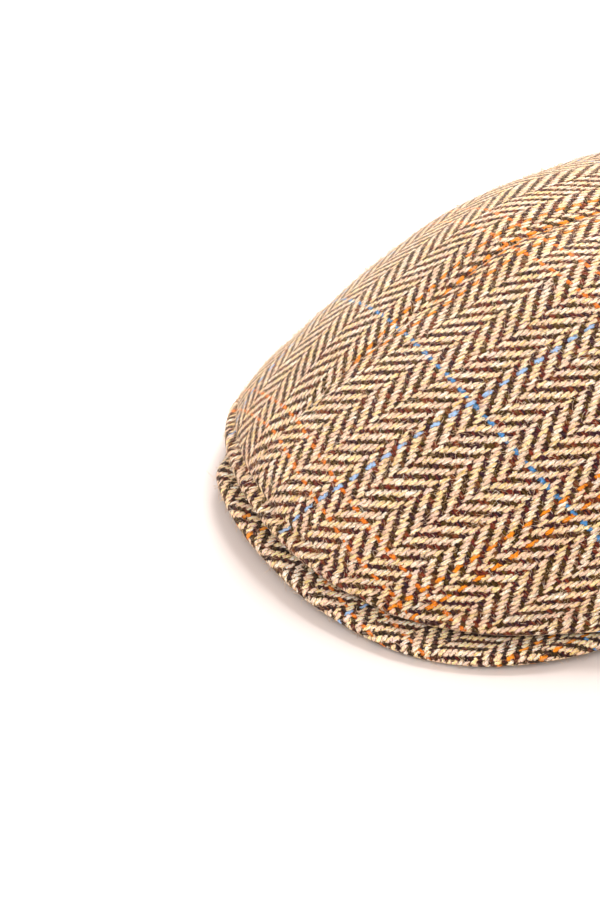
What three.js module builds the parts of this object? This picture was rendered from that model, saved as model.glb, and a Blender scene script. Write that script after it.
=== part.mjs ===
// Flat cap in herringbone wool tweed, lying on a table as it would by itself.
// The crown is two cloth halves sewn along a centre seam. Each is turned under at a rolled fold
// and ends at the head opening. A stiff cloth-covered peak sits under the front fold.
// Units are millimetres, +Z is up, the wearer's left is +X and the peak points towards -Y.
// The origin is on the table, under the middle of the cap's length and width.
import * as THREE from 'three';

// Head opening and its turned-up rim
const openingHalfWidth = 81;
const openingHalfLength = 98;
const rimWidth = 3;
const rimNeckHeight = 5.6;
const rimFrontRise = 5; // the rim lifts off the table behind the peak
const rimLevelAngle = 60; // degrees from the front where the rim meets the table

// Crown
const clothThickness = 2; // tweed with its backing
const crownHeight = 91;
const apexForwardOffset = 9; // from the opening's middle to the highest point
const frontOverhang = 44; // from the rim to the fold, at the front
const frontFoldHeight = 13.6;
const foldRadius = 2.2;
const seamGap = 0.3;
const seamDip = 1; // depth of the valley along the centre seam
const seamDipHalfWidth = 4;

// Peak
const peakLength = 48; // from the rim to the edge, at the front
const peakThickness = 3.6;
const peakEdgeHeight = 7; // middle of the edge above the table, at the front
const peakCamber = 1.2;
const peakCornerAngle = 66; // degrees from the front where the peak ends
const seatClearance = 0.3;
const clothClearance = 0.7; // between the peak and the cloth turned under above it

// The crown's fold by angle from the front: overhang is a share of frontOverhang and
// height is a share of frontFoldHeight.
const foldRows = [
  { angle: 0, overhang: 1.0, height: 1.0 },
  { angle: 10, overhang: 1.0, height: 0.91 },
  { angle: 20, overhang: 0.998, height: 0.79 },
  { angle: 25, overhang: 0.972, height: 0.695 },
  { angle: 30, overhang: 0.93, height: 0.62 },
  { angle: 35, overhang: 0.882, height: 0.596 },
  { angle: 40, overhang: 0.825, height: 0.62 },
  { angle: 50, overhang: 0.64, height: 0.66 },
  { angle: 60, overhang: 0.52, height: 0.76 },
  { angle: 75, overhang: 0.428, height: 0.92 },
  { angle: 90, overhang: 0.381, height: 1.09 },
  { angle: 120, overhang: 0.355, height: 1.4 },
  { angle: 150, overhang: 0.375, height: 1.75 },
  { angle: 180, overhang: 0.386, height: 2.1 },
];

// The peak's edge by angle from the front: projection is a share of peakLength and
// height is a share of peakEdgeHeight.
const peakEdgeRows = [
  { angle: 0, projection: 1.0, height: 1.0 },
  { angle: 10, projection: 0.998, height: 0.85 },
  { angle: 20, projection: 1.017, height: 0.64 },
  { angle: 30, projection: 1.008, height: 0.41 },
  { angle: 35, projection: 0.973, height: 0.343 },
  { angle: 40, projection: 0.905, height: 0.36 },
  { angle: 45, projection: 0.8, height: 0.45 },
  { angle: 50, projection: 0.665, height: 0.54 },
  { angle: 55, projection: 0.5, height: 0.6 },
  { angle: 60, projection: 0.33, height: 0.62 },
  { angle: 64, projection: 0.17, height: 0.62 },
  { angle: 66, projection: 0.09, height: 0.62 },
];

// How the crown rises from its fold (out 1) to its highest point (out 0), as shares of the
// distance and of the height between them, towards the front, the side and the back.
const crownRows = [
  { out: 0, front: 1, side: 1, back: 1 },
  { out: 0.2, front: 0.944, side: 0.978, back: 0.985 },
  { out: 0.4, front: 0.868, side: 0.912, back: 0.94 },
  { out: 0.6, front: 0.658, side: 0.756, back: 0.83 },
  { out: 0.75, front: 0.483, side: 0.54, back: 0.68 },
  { out: 0.88, front: 0.28, side: 0.278, back: 0.47 },
  { out: 0.96, front: 0.133, side: 0.122, back: 0.25 },
  { out: 1, front: 0, side: 0, back: 0 },
];

// The peak's camber from the rim (out 0) to its edge (out 1), as a share of peakCamber.
const camberRows = [
  { out: 0, camber: 0 },
  { out: 0.25, camber: 0.7 },
  { out: 0.5, camber: 1 },
  { out: 0.75, camber: 0.85 },
  { out: 0.9, camber: 0.45 },
  { out: 1, camber: 0 },
];

const rimHalfWidth = openingHalfWidth + rimWidth;
const rimHalfLength = openingHalfLength + rimWidth;
const backOverhang = frontOverhang * foldRows[foldRows.length - 1].overhang;
const openingCentreY = (peakLength - backOverhang) / 2;
const apexY = openingCentreY - apexForwardOffset;

/** Smooth curve through a table's rows that never overshoots them and may start level. */
function curveThrough(rows, key, column, levelStart = false) {
  const x = rows.map((row) => row[key]);
  const y = rows.map((row) => row[column]);
  const last = x.length - 1;
  const step = x.slice(1).map((value, i) => value - x[i]);
  const slope = step.map((h, i) => (y[i + 1] - y[i]) / h);
  const tangent = y.map((_, i) => {
    if (i === 0) return levelStart ? 0 : slope[0];
    if (i === last) return slope[last - 1];
    if (slope[i - 1] * slope[i] <= 0) return 0;
    const before = 2 * step[i] + step[i - 1];
    const after = step[i] + 2 * step[i - 1];
    return (before + after) / (before / slope[i - 1] + after / slope[i]);
  });
  return (at) => {
    const clamped = Math.min(Math.max(at, x[0]), x[last]);
    let i = 0;
    while (i < last - 1 && clamped > x[i + 1]) i += 1;
    const s = (clamped - x[i]) / step[i];
    const rise = s * s * (3 - 2 * s);
    const leave = s * (1 - s) * (1 - s) * step[i] * tangent[i];
    const arrive = s * s * (s - 1) * step[i] * tangent[i + 1];
    return y[i] + (y[i + 1] - y[i]) * rise + leave + arrive;
  };
}

const foldOverhang = curveThrough(foldRows, 'angle', 'overhang');
const foldHeight = curveThrough(foldRows, 'angle', 'height');
const peakProjection = curveThrough(peakEdgeRows, 'angle', 'projection');
const peakHeight = curveThrough(peakEdgeRows, 'angle', 'height');
const frontRise = curveThrough(crownRows, 'out', 'front', true);
const sideRise = curveThrough(crownRows, 'out', 'side', true);
const backRise = curveThrough(crownRows, 'out', 'back', true);
const camberShare = curveThrough(camberRows, 'out', 'camber');

/** Place on the rim's outer wall at an angle in degrees, with its direction outwards. */
function rimAt(angle) {
  const a = THREE.MathUtils.degToRad(angle);
  const point = new THREE.Vector2(
    rimHalfWidth * Math.sin(a), openingCentreY - rimHalfLength * Math.cos(a));
  const outward = new THREE.Vector2(
    Math.sin(a) / rimHalfWidth, -Math.cos(a) / rimHalfLength).normalize();
  const level = Math.min(Math.abs(angle) / rimLevelAngle, 1);
  const bottom = rimFrontRise * Math.cos(level * Math.PI / 2) ** 2;
  return { point, outward, bottom };
}

/** 3-D point at a distance outwards from the rim and a height above the table. */
function outFromRim(rim, distance, height) {
  return new THREE.Vector3(
    rim.point.x + rim.outward.x * distance, rim.point.y + rim.outward.y * distance, height);
}

/** The fold's outermost line at an angle. */
function foldAt(angle) {
  const turn = Math.abs(angle);
  const distance = frontOverhang * foldOverhang(turn);
  const height = frontFoldHeight * foldHeight(turn);
  return { distance, height, point: outFromRim(rimAt(angle), distance, height) };
}

const widestFold = foldAt(90).point.x;

/** Point on the crown's outer face, from the highest point (out 0) to the fold (out 1). */
function crownAt(angle, out) {
  const fold = foldAt(angle).point;
  const sideways = Math.min((fold.x / widestFold) ** 2, 1);
  const end = fold.y < apexY ? frontRise(out) : backRise(out);
  const share = end * (1 - sideways) + sideRise(out) * sideways;
  const x = fold.x * out;
  const dip = seamDip * Math.exp(-((x / seamDipHalfWidth) ** 2)) * Math.min(1, (1 - out) * 20);
  return new THREE.Vector3(
    x, apexY + (fold.y - apexY) * out, fold.z + (crownHeight - fold.z) * share - dip);
}

/** Point on the crown's inner face, one cloth thickness inside crownAt. */
function crownInsideAt(angle, out) {
  const turn = 0.5;
  const reach = 0.004;
  const along = crownAt(angle + turn, out).sub(crownAt(angle - turn, out));
  const down = crownAt(angle, out + reach).sub(crownAt(angle, out - reach));
  const inward = along.cross(down).normalize();
  if (inward.z > 0) inward.negate();
  return crownAt(angle, out).addScaledVector(inward, clothThickness);
}

/** Distance of the peak's edge from the rim and heights of its middle surface. */
function peakAt(angle) {
  const rim = rimAt(angle);
  const turn = Math.abs(angle);
  const edge = peakLength * peakProjection(turn);
  const seat = rim.bottom + seatClearance + peakThickness / 2;
  const edgeHeight = peakEdgeHeight * peakHeight(turn);
  const middle = (distance) => {
    const out = Math.min(Math.max(distance / edge, 0), 1);
    return seat + (edgeHeight - seat) * out + peakCamber * camberShare(out);
  };
  return { rim, edge, middle };
}

/** Underside of the cloth turned under at the fold, clear of the peak below it. */
function underClothHeight(angle, distance) {
  const rim = rimAt(angle);
  const fold = foldAt(angle);
  const share = distance / (fold.distance - foldRadius);
  const straight = THREE.MathUtils.lerp(
    rim.bottom + rimNeckHeight, fold.height - foldRadius, share);
  if (Math.abs(angle) > peakCornerAngle + 4) return straight;
  const overPeak = peakAt(angle).middle(distance) + peakThickness / 2 + clothClearance;
  return Math.max(straight, overPeak);
}

const outerShares = [0.08, 0.17, 0.27, 0.37, 0.47, 0.56, 0.65, 0.73, 0.8, 0.86, 0.91, 0.95, 0.98, 1];
const innerShares = [0.95, 0.9, 0.83, 0.75, 0.65, 0.53, 0.4, 0.27, 0.13];
const underShares = [0.85, 0.6, 0.35, 0.12];

/** The crown's wall at one angle, from beside the highest point round to its inner side. */
function crownSection(angle) {
  const rim = rimAt(angle);
  const fold = foldAt(angle);
  const reach = fold.distance - foldRadius;
  const outer = outerShares.map((out) => crownAt(angle, out));
  const roll = [45, 90].map((degrees) => {
    const a = THREE.MathUtils.degToRad(degrees);
    return outFromRim(
      rim, reach + foldRadius * Math.cos(a), fold.height - foldRadius * Math.sin(a));
  });
  const under = underShares.map(
    (share) => outFromRim(rim, reach * share, underClothHeight(angle, reach * share)));
  const neckTop = rim.bottom + rimNeckHeight;
  const neck = [
    outFromRim(rim, 0, neckTop - clothThickness / 2),
    outFromRim(rim, 0, rim.bottom),
    outFromRim(rim, -rimWidth, rim.bottom),
    outFromRim(rim, -rimWidth, neckTop + clothThickness),
  ];
  const floor = [...underShares].reverse().map((share) => outFromRim(
    rim, reach * share, underClothHeight(angle, reach * share) + clothThickness));
  const inner = innerShares.map((out) => crownInsideAt(angle, out));
  return [...outer, ...roll, ...under, ...neck, ...floor, ...inner];
}

/** BufferGeometry of one closed body, with its faces turned outwards. */
function closedGeometry(points, triangles) {
  let volume = 0;
  for (const [a, b, c] of triangles) {
    volume += points[a].dot(new THREE.Vector3().crossVectors(points[b], points[c]));
  }
  const faces = volume < 0 ? triangles.map(([a, b, c]) => [a, c, b]) : triangles;
  const geometry = new THREE.BufferGeometry();
  geometry.setAttribute(
    'position', new THREE.Float32BufferAttribute(points.flatMap((p) => [p.x, p.y, p.z]), 3));
  geometry.setIndex(faces.flat());
  geometry.computeVertexNormals();
  return geometry;
}

/** Triangles over a flat polygon that lies across the X axis. */
function capTriangles(points, loop) {
  const outline = loop.map((index) => new THREE.Vector2(points[index].y, points[index].z));
  return THREE.ShapeUtils.triangulateShape(outline, [])
    .map((corners) => corners.map((corner) => loop[corner]));
}

/** Half of the crown from the centre seam out to one side: +1 is the wearer's left. */
function crownHalf(side) {
  const seamAngles = [0, 1.5, 4];
  const angles = [...seamAngles];
  for (let angle = 8; angle <= 172; angle += 4) angles.push(angle);
  angles.push(...seamAngles.map((angle) => 180 - angle).reverse());
  const sections = angles.map(crownSection);
  const count = sections[0].length;
  const points = sections.flat();
  for (const index of [0, angles.length - 1]) {
    for (const point of sections[index]) point.x = 0;
  }
  const outerPole = points.push(new THREE.Vector3(0, apexY, crownHeight - seamDip)) - 1;
  const innerPole = points.push(
    new THREE.Vector3(0, apexY, crownHeight - seamDip - clothThickness)) - 1;
  const triangles = [];
  for (let i = 0; i + 1 < angles.length; i += 1) {
    const here = i * count;
    const next = here + count;
    for (let j = 0; j + 1 < count; j += 1) {
      triangles.push([here + j, here + j + 1, next + j + 1], [here + j, next + j + 1, next + j]);
    }
    triangles.push([outerPole, here, next], [innerPole, next + count - 1, here + count - 1]);
  }
  const frontLoop = sections[0].map((_, j) => j);
  const backLoop = frontLoop.map((j) => (angles.length - 1) * count + j);
  triangles.push(...capTriangles(points, [outerPole, ...frontLoop, innerPole]));
  const backCap = capTriangles(points, [outerPole, ...backLoop, innerPole]);
  triangles.push(...backCap.map(([a, b, c]) => [a, c, b]));
  for (const point of points) point.x = side * (point.x + seamGap / 2);
  return closedGeometry(points, orientCaps(points, triangles));
}

/** Turns triangles so that each shared edge runs once each way. */
function orientCaps(points, triangles) {
  const edgeKey = (a, b) => a * points.length + b;
  const byEdge = new Map();
  triangles.forEach((corners, index) => {
    corners.forEach((a, k) => {
      const b = corners[(k + 1) % 3];
      const key = edgeKey(Math.min(a, b), Math.max(a, b));
      if (!byEdge.has(key)) byEdge.set(key, []);
      byEdge.get(key).push(index);
    });
  });
  const turned = triangles.map((corners) => [...corners]);
  const seen = new Set([0]);
  const waiting = [0];
  const runs = (corners, a, b) => corners.some((c, k) => c === a && corners[(k + 1) % 3] === b);
  while (waiting.length) {
    const corners = turned[waiting.pop()];
    corners.forEach((a, k) => {
      const b = corners[(k + 1) % 3];
      for (const other of byEdge.get(edgeKey(Math.min(a, b), Math.max(a, b)))) {
        if (seen.has(other)) continue;
        if (runs(turned[other], a, b)) turned[other].reverse();
        seen.add(other);
        waiting.push(other);
      }
    });
  }
  return turned;
}

/** The peak's cross-section at one angle, from the rim out over the top and back below. */
function peakSection(angle) {
  const { rim, edge, middle } = peakAt(angle);
  const half = peakThickness / 2;
  const shares = [0, 0.25, 0.5, 0.7, 0.85, 1];
  const reach = edge - half - seatClearance;
  const rowAt = (share, offset) => {
    const distance = seatClearance + reach * share;
    return outFromRim(rim, distance, middle(distance) + offset);
  };
  const top = shares.map((share) => rowAt(share, half));
  const round = [45, 0, -45].map((degrees) => {
    const a = THREE.MathUtils.degToRad(degrees);
    return outFromRim(rim, edge - half + half * Math.cos(a), middle(edge) + half * Math.sin(a));
  });
  const bottom = [...shares].reverse().map((share) => rowAt(share, -half));
  return [...top, ...round, ...bottom];
}

/** The whole peak, closed by flat ends at its two corners. */
function peakGeometry() {
  const steps = 44;
  const sections = Array.from({ length: steps + 1 }, (_, i) => peakSection(
    THREE.MathUtils.lerp(-peakCornerAngle, peakCornerAngle, i / steps)));
  const count = sections[0].length;
  const points = sections.flat();
  const triangles = [];
  for (let i = 0; i < steps; i += 1) {
    for (let j = 0; j < count; j += 1) {
      const a = i * count + j;
      const b = i * count + (j + 1) % count;
      triangles.push([a, b, b + count], [a, b + count, a + count]);
    }
  }
  for (let j = 1; j + 1 < count; j += 1) {
    const end = steps * count;
    triangles.push([0, j + 1, j], [end, end + j, end + j + 1]);
  }
  return closedGeometry(points, triangles);
}

const tweed = { color: 0xb6967d, roughness: 0.95, metalness: 0 };

/** Mesh with its node name and a material of its own. */
function part(name, geometry) {
  const mesh = new THREE.Mesh(geometry, new THREE.MeshStandardMaterial(tweed));
  mesh.name = name;
  return mesh;
}

const cap = new THREE.Group();
cap.name = 'flat_cap';
cap.add(part('crown_left', crownHalf(1)));
cap.add(part('crown_right', crownHalf(-1)));
cap.add(part('peak', peakGeometry()));

export default cap;
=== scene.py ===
"""Flat cap in checked herringbone wool tweed, lying on a white studio floor.

The crown is two tailored cloth halves that meet at a centre seam and turn under at a rolled
fold, over a stiff cloth-covered peak. Sizes are millimetres until a mesh is made.
"""

import logging
import math
from dataclasses import dataclass, replace
from enum import Enum

import bpy
import numpy as np
from mathutils import Matrix, Vector, noise


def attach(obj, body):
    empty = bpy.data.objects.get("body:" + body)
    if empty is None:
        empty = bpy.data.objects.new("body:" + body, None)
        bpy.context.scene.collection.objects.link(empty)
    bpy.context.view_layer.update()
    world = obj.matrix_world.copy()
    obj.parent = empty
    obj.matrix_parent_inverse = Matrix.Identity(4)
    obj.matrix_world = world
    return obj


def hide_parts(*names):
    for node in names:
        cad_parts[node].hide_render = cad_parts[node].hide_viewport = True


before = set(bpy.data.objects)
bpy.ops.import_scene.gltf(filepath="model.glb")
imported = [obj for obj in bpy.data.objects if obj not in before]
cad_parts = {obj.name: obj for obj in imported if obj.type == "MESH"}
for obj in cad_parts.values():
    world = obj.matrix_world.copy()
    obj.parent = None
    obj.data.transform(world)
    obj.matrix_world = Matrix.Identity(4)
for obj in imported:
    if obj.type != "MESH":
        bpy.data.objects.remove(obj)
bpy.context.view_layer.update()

MM = 0.001
SHARP_ANGLE = 70
THREADS = "threads"
MATH = "ShaderNodeMath"
VECTOR_MATH = "ShaderNodeVectorMath"
log = logging.getLogger("flat_cap")


def linear_colour(hex_colour: str, alpha: float = 1.0) -> tuple[float, float, float, float]:
    """Turns an sRGB colour such as '#B6967D' into the linear one that shaders work in.

    Args:
        hex_colour: the colour as a designer writes it.
        alpha: opacity.

    Returns:
        Linear red, green, blue and alpha.
    """
    channels = [int(hex_colour[i:i + 2], 16) / 255 for i in (1, 3, 5)]
    red, green, blue = (c / 12.92 if c <= 0.04045 else ((c + 0.055) / 1.055) ** 2.4 for c in channels)
    return red, green, blue, alpha


def add_node(
        tree: bpy.types.NodeTree, kind: str, *inputs: object, named: dict | None = None,
        **settings: object) -> bpy.types.Node:
    """Adds a node to a tree, with its settings, values and links.

    Args:
        tree: the node tree.
        kind: Blender's name of the node's type.
        inputs: values, sockets or nodes for its first input sockets, in order.
        named: values, sockets or nodes for other input sockets, by name or place.
        settings: properties of the node.

    Returns:
        The node. Where a node is given as an input, its first output is linked.
    """
    node = tree.nodes.new(kind)
    for name, value in settings.items():
        setattr(node, name, value)
    for place, value in {**dict(enumerate(inputs)), **(named or {})}.items():
        source = value.outputs[0] if isinstance(value, bpy.types.Node) else value
        if isinstance(source, bpy.types.NodeSocket):
            tree.links.new(source, node.inputs[place])
        else:
            node.inputs[place].default_value = source
    return node


class Side(Enum):
    """The two halves of the crown, by the direction of X that they lie in."""

    LEFT = 1
    RIGHT = -1


@dataclass(frozen=True)
class SmoothCurve:
    """Smooth curve through a table's rows that never overshoots them.

    A level start lets a crown or a dome leave its highest point without a crease.
    """

    places: tuple[float, ...]
    values: tuple[float, ...]
    level_start: bool = False

    def __call__(self, at: np.ndarray) -> np.ndarray:
        """Reads the curve.

        Args:
            at: places along the curve; those past its ends count as its ends.

        Returns:
            The curve's values there.
        """
        x = np.asarray(self.places)
        y = np.asarray(self.values)
        step = np.diff(x)
        slope = np.diff(y) / step
        before = 2 * step[1:] + step[:-1]
        after = step[1:] + 2 * step[:-1]
        same_way = slope[:-1] * slope[1:] > 0
        early = np.where(same_way, slope[:-1], 1.0)
        late = np.where(same_way, slope[1:], 1.0)
        inner = np.where(same_way, (before + after) / (before / early + after / late), 0.0)
        first = 0.0 if self.level_start else slope[0]
        tangent = np.concatenate(([first], inner, [slope[-1]]))
        clamped = np.clip(at, x[0], x[-1])
        i = np.clip(np.searchsorted(x, clamped, side="right") - 1, 0, len(step) - 1)
        s = (clamped - x[i]) / step[i]
        rise = s * s * (3 - 2 * s)
        leave = s * (1 - s) ** 2 * step[i] * tangent[i]
        arrive = s * s * (s - 1) * step[i] * tangent[i + 1]
        return y[i] + (y[i + 1] - y[i]) * rise + leave + arrive


def curve_of(rows: list[dict[str, float]], key: str, column: str, level_start: bool = False) -> SmoothCurve:
    """Makes a smooth curve of one column of a table against another.

    Args:
        rows: the table.
        key: column of the places.
        column: column of the values.
        level_start: whether the curve starts level.

    Returns:
        The curve.
    """
    return SmoothCurve(
        tuple(row[key] for row in rows), tuple(row[column] for row in rows), level_start)


def unit(vectors: np.ndarray) -> np.ndarray:
    """Returns vectors along the last axis, each with a length of one."""
    return vectors / np.maximum(np.linalg.norm(vectors, axis=-1, keepdims=True), 1e-12)


def smooth_step(low: float, high: float, at: np.ndarray) -> np.ndarray:
    """Rises smoothly from 0 at low to 1 at high."""
    s = np.clip((at - low) / (high - low), 0, 1)
    return s * s * (3 - 2 * s)


# The crown's fold by angle from the front: overhang is a share of front_overhang and height is
# a share of front_fold_height.
FOLD_ROWS = [
    {"angle": 0, "overhang": 1.0, "height": 1.0},
    {"angle": 10, "overhang": 1.0, "height": 0.91},
    {"angle": 20, "overhang": 0.998, "height": 0.79},
    {"angle": 25, "overhang": 0.972, "height": 0.695},
    {"angle": 30, "overhang": 0.93, "height": 0.62},
    {"angle": 35, "overhang": 0.882, "height": 0.596},
    {"angle": 40, "overhang": 0.825, "height": 0.62},
    {"angle": 50, "overhang": 0.64, "height": 0.66},
    {"angle": 60, "overhang": 0.52, "height": 0.76},
    {"angle": 75, "overhang": 0.428, "height": 0.92},
    {"angle": 90, "overhang": 0.381, "height": 1.09},
    {"angle": 120, "overhang": 0.355, "height": 1.4},
    {"angle": 150, "overhang": 0.375, "height": 1.75},
    {"angle": 180, "overhang": 0.386, "height": 2.1},
]

# The peak's edge by angle from the front: projection is a share of peak_length and height is a
# share of peak_edge_height.
PEAK_EDGE_ROWS = [
    {"angle": 0, "projection": 1.0, "height": 1.0},
    {"angle": 10, "projection": 0.998, "height": 0.85},
    {"angle": 20, "projection": 1.017, "height": 0.64},
    {"angle": 30, "projection": 1.008, "height": 0.41},
    {"angle": 35, "projection": 0.973, "height": 0.343},
    {"angle": 40, "projection": 0.905, "height": 0.36},
    {"angle": 45, "projection": 0.8, "height": 0.45},
    {"angle": 50, "projection": 0.665, "height": 0.54},
    {"angle": 55, "projection": 0.5, "height": 0.6},
    {"angle": 60, "projection": 0.33, "height": 0.62},
    {"angle": 64, "projection": 0.17, "height": 0.62},
    {"angle": 66, "projection": 0.09, "height": 0.62},
]

# How the crown rises from its fold (out 1) to its highest point (out 0), as shares of the
# distance and of the height between them, towards the front, the side and the back.
CROWN_ROWS = [
    {"out": 0, "front": 1, "side": 1, "back": 1},
    {"out": 0.2, "front": 0.944, "side": 0.978, "back": 0.985},
    {"out": 0.4, "front": 0.868, "side": 0.912, "back": 0.94},
    {"out": 0.6, "front": 0.658, "side": 0.756, "back": 0.83},
    {"out": 0.75, "front": 0.483, "side": 0.54, "back": 0.68},
    {"out": 0.88, "front": 0.28, "side": 0.278, "back": 0.47},
    {"out": 0.96, "front": 0.133, "side": 0.122, "back": 0.25},
    {"out": 1, "front": 0, "side": 0, "back": 0},
]

# The peak's camber from the rim (out 0) to its edge (out 1), as a share of peak_camber.
CAMBER_ROWS = [
    {"out": 0, "camber": 0},
    {"out": 0.25, "camber": 0.7},
    {"out": 0.5, "camber": 1},
    {"out": 0.75, "camber": 0.85},
    {"out": 0.9, "camber": 0.45},
    {"out": 1, "camber": 0},
]


@dataclass(frozen=True)
class CapForm:
    """The cap's shape, from the sizes of the solids that it dresses, in millimetres and degrees.

    Four sizes follow the real cloth more closely than the rigid solids can: sewn halves touch,
    the crease along their seam is a little deeper, the fold's roll is tighter and stands clearer
    of the peak, and wear has pressed the peak's right front in.
    """

    opening_half_width: float = 81
    opening_half_length: float = 98
    rim_width: float = 3
    rim_neck_height: float = 5.6
    rim_front_rise: float = 5
    rim_level_angle: float = 60
    cloth_thickness: float = 2
    crown_height: float = 91
    apex_forward_offset: float = 9
    front_overhang: float = 44
    front_fold_height: float = 13.6
    fold_radius: float = 1.65
    seam_gap: float = 0
    seam_dip: float = 1
    seam_dip_half_width: float = 4
    seam_crease: float = 0.45
    seam_crease_half_width: float = 0.5
    peak_length: float = 48
    peak_thickness: float = 3.6
    peak_edge_height: float = 7
    peak_camber: float = 1.2
    peak_corner_angle: float = 66
    peak_pressed_in: float = 4
    pressed_from: tuple[float, float] = (8, 15)
    pressed_to: tuple[float, float] = (20, 36)
    seat_clearance: float = 0.3
    cloth_clearance: float = 1.2
    fold_overhang: SmoothCurve = curve_of(FOLD_ROWS, "angle", "overhang")
    fold_height: SmoothCurve = curve_of(FOLD_ROWS, "angle", "height")
    peak_projection: SmoothCurve = curve_of(PEAK_EDGE_ROWS, "angle", "projection")
    peak_height: SmoothCurve = curve_of(PEAK_EDGE_ROWS, "angle", "height")
    front_rise: SmoothCurve = curve_of(CROWN_ROWS, "out", "front", level_start=True)
    side_rise: SmoothCurve = curve_of(CROWN_ROWS, "out", "side", level_start=True)
    back_rise: SmoothCurve = curve_of(CROWN_ROWS, "out", "back", level_start=True)
    camber: SmoothCurve = curve_of(CAMBER_ROWS, "out", "camber")

    @property
    def rim_half_width(self) -> float:
        """Half the width across the rim's outer wall."""
        return self.opening_half_width + self.rim_width

    @property
    def rim_half_length(self) -> float:
        """Half the length along the rim's outer wall."""
        return self.opening_half_length + self.rim_width

    @property
    def opening_centre_y(self) -> float:
        """Middle of the head opening, with the whole cap centred on the origin."""
        return (self.peak_length - self.front_overhang * FOLD_ROWS[-1]["overhang"]) / 2

    @property
    def apex_y(self) -> float:
        """Where the crown is highest."""
        return self.opening_centre_y - self.apex_forward_offset

    @property
    def widest_fold(self) -> float:
        """X of the fold at the cap's side."""
        return self.rim_half_width + self.front_overhang * float(self.fold_overhang(90.0))

    def rim(self, angle: np.ndarray) -> tuple[np.ndarray, np.ndarray, np.ndarray]:
        """Finds the rim's outer wall.

        Args:
            angle: degrees from the front, positive towards the wearer's left.

        Returns:
            Its places in plan, the directions outwards there and its height above the table.
        """
        a = np.radians(angle)
        place = np.stack([
            self.rim_half_width * np.sin(a),
            self.opening_centre_y - self.rim_half_length * np.cos(a)], axis=-1)
        outward = unit(np.stack([np.sin(a) / self.rim_half_width, -np.cos(a) / self.rim_half_length], -1))
        level = np.minimum(np.abs(angle) / self.rim_level_angle, 1)
        return place, outward, self.rim_front_rise * np.cos(level * math.pi / 2) ** 2

    def out_from_rim(self, angle: np.ndarray, distance: np.ndarray, height: np.ndarray) -> np.ndarray:
        """Steps outwards from the rim's outer wall.

        Args:
            angle: degrees from the front.
            distance: how far out of the rim each point lies, in plan.
            height: height above the table.

        Returns:
            The 3-D points.
        """
        place, outward, _ = self.rim(angle)
        plan = place + outward * np.asarray(distance)[..., None]
        return np.concatenate([plan, (np.zeros(len(plan)) + height)[:, None]], axis=-1)

    def fold(self, angle: np.ndarray) -> np.ndarray:
        """Returns the fold's outermost line."""
        turn = np.abs(angle)
        return self.out_from_rim(
            angle, self.front_overhang * self.fold_overhang(turn),
            self.front_fold_height * self.fold_height(turn))

    def crown(self, angle: np.ndarray, out: np.ndarray) -> np.ndarray:
        """Finds points on the crown's outer face.

        Args:
            angle: degrees from the front of the point on the fold that each one looks towards.
            out: 0 at the crown's highest point to 1 at the fold.

        Returns:
            The 3-D points.
        """
        fold = self.fold(angle)
        sideways = np.minimum((fold[:, 0] / self.widest_fold) ** 2, 1)
        end = np.where(fold[:, 1] < self.apex_y, self.front_rise(out), self.back_rise(out))
        share = end * (1 - sideways) + self.side_rise(out) * sideways
        x = fold[:, 0] * out
        y = self.apex_y + (fold[:, 1] - self.apex_y) * out
        ease = np.minimum(1, (1 - out) * 20)
        valley = self.seam_dip * np.exp(-((x / self.seam_dip_half_width) ** 2)) * ease
        crease = self.seam_crease * np.exp(-np.abs(x / self.seam_crease_half_width) ** 1.5)
        z = fold[:, 2] + (self.crown_height - fold[:, 2]) * share - valley - crease
        return np.stack([x, y, z], axis=-1)

    def peak_edge(self, angle: np.ndarray) -> np.ndarray:
        """Returns how far the peak reaches out of the rim; wear has pressed its right front in."""
        pressed = smooth_step(*self.pressed_from, -angle) * (1 - smooth_step(*self.pressed_to, -angle))
        return self.peak_length * self.peak_projection(np.abs(angle)) - self.peak_pressed_in * pressed

    def peak_middle(self, angle: np.ndarray, distance: np.ndarray) -> np.ndarray:
        """Finds the peak's middle surface.

        Args:
            angle: degrees from the front.
            distance: how far out of the rim.

        Returns:
            Its heights above the table.
        """
        turn = np.abs(angle)
        edge = self.peak_edge(angle)
        seat = self.rim(angle)[2] + self.seat_clearance + self.peak_thickness / 2
        out = np.clip(distance / edge, 0, 1)
        return seat + (self.peak_edge_height * self.peak_height(turn) - seat) * out + (
            self.peak_camber * self.camber(out))

    def under_cloth(self, angle: np.ndarray, distance: np.ndarray) -> np.ndarray:
        """Finds the underside of the cloth turned under, which stays clear of the peak.

        Args:
            angle: degrees from the front.
            distance: how far out of the rim.

        Returns:
            Its heights above the table.
        """
        turn = np.abs(angle)
        reach = self.front_overhang * self.fold_overhang(turn) - self.fold_radius
        neck = self.rim(angle)[2] + self.rim_neck_height
        bottom = self.front_fold_height * self.fold_height(turn) - self.fold_radius
        straight = neck + (bottom - neck) * distance / reach
        over_peak = (
            self.peak_middle(angle, distance) + self.peak_thickness / 2 + self.cloth_clearance)
        return np.where(turn > self.peak_corner_angle + 4, straight, np.maximum(straight, over_peak))


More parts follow.
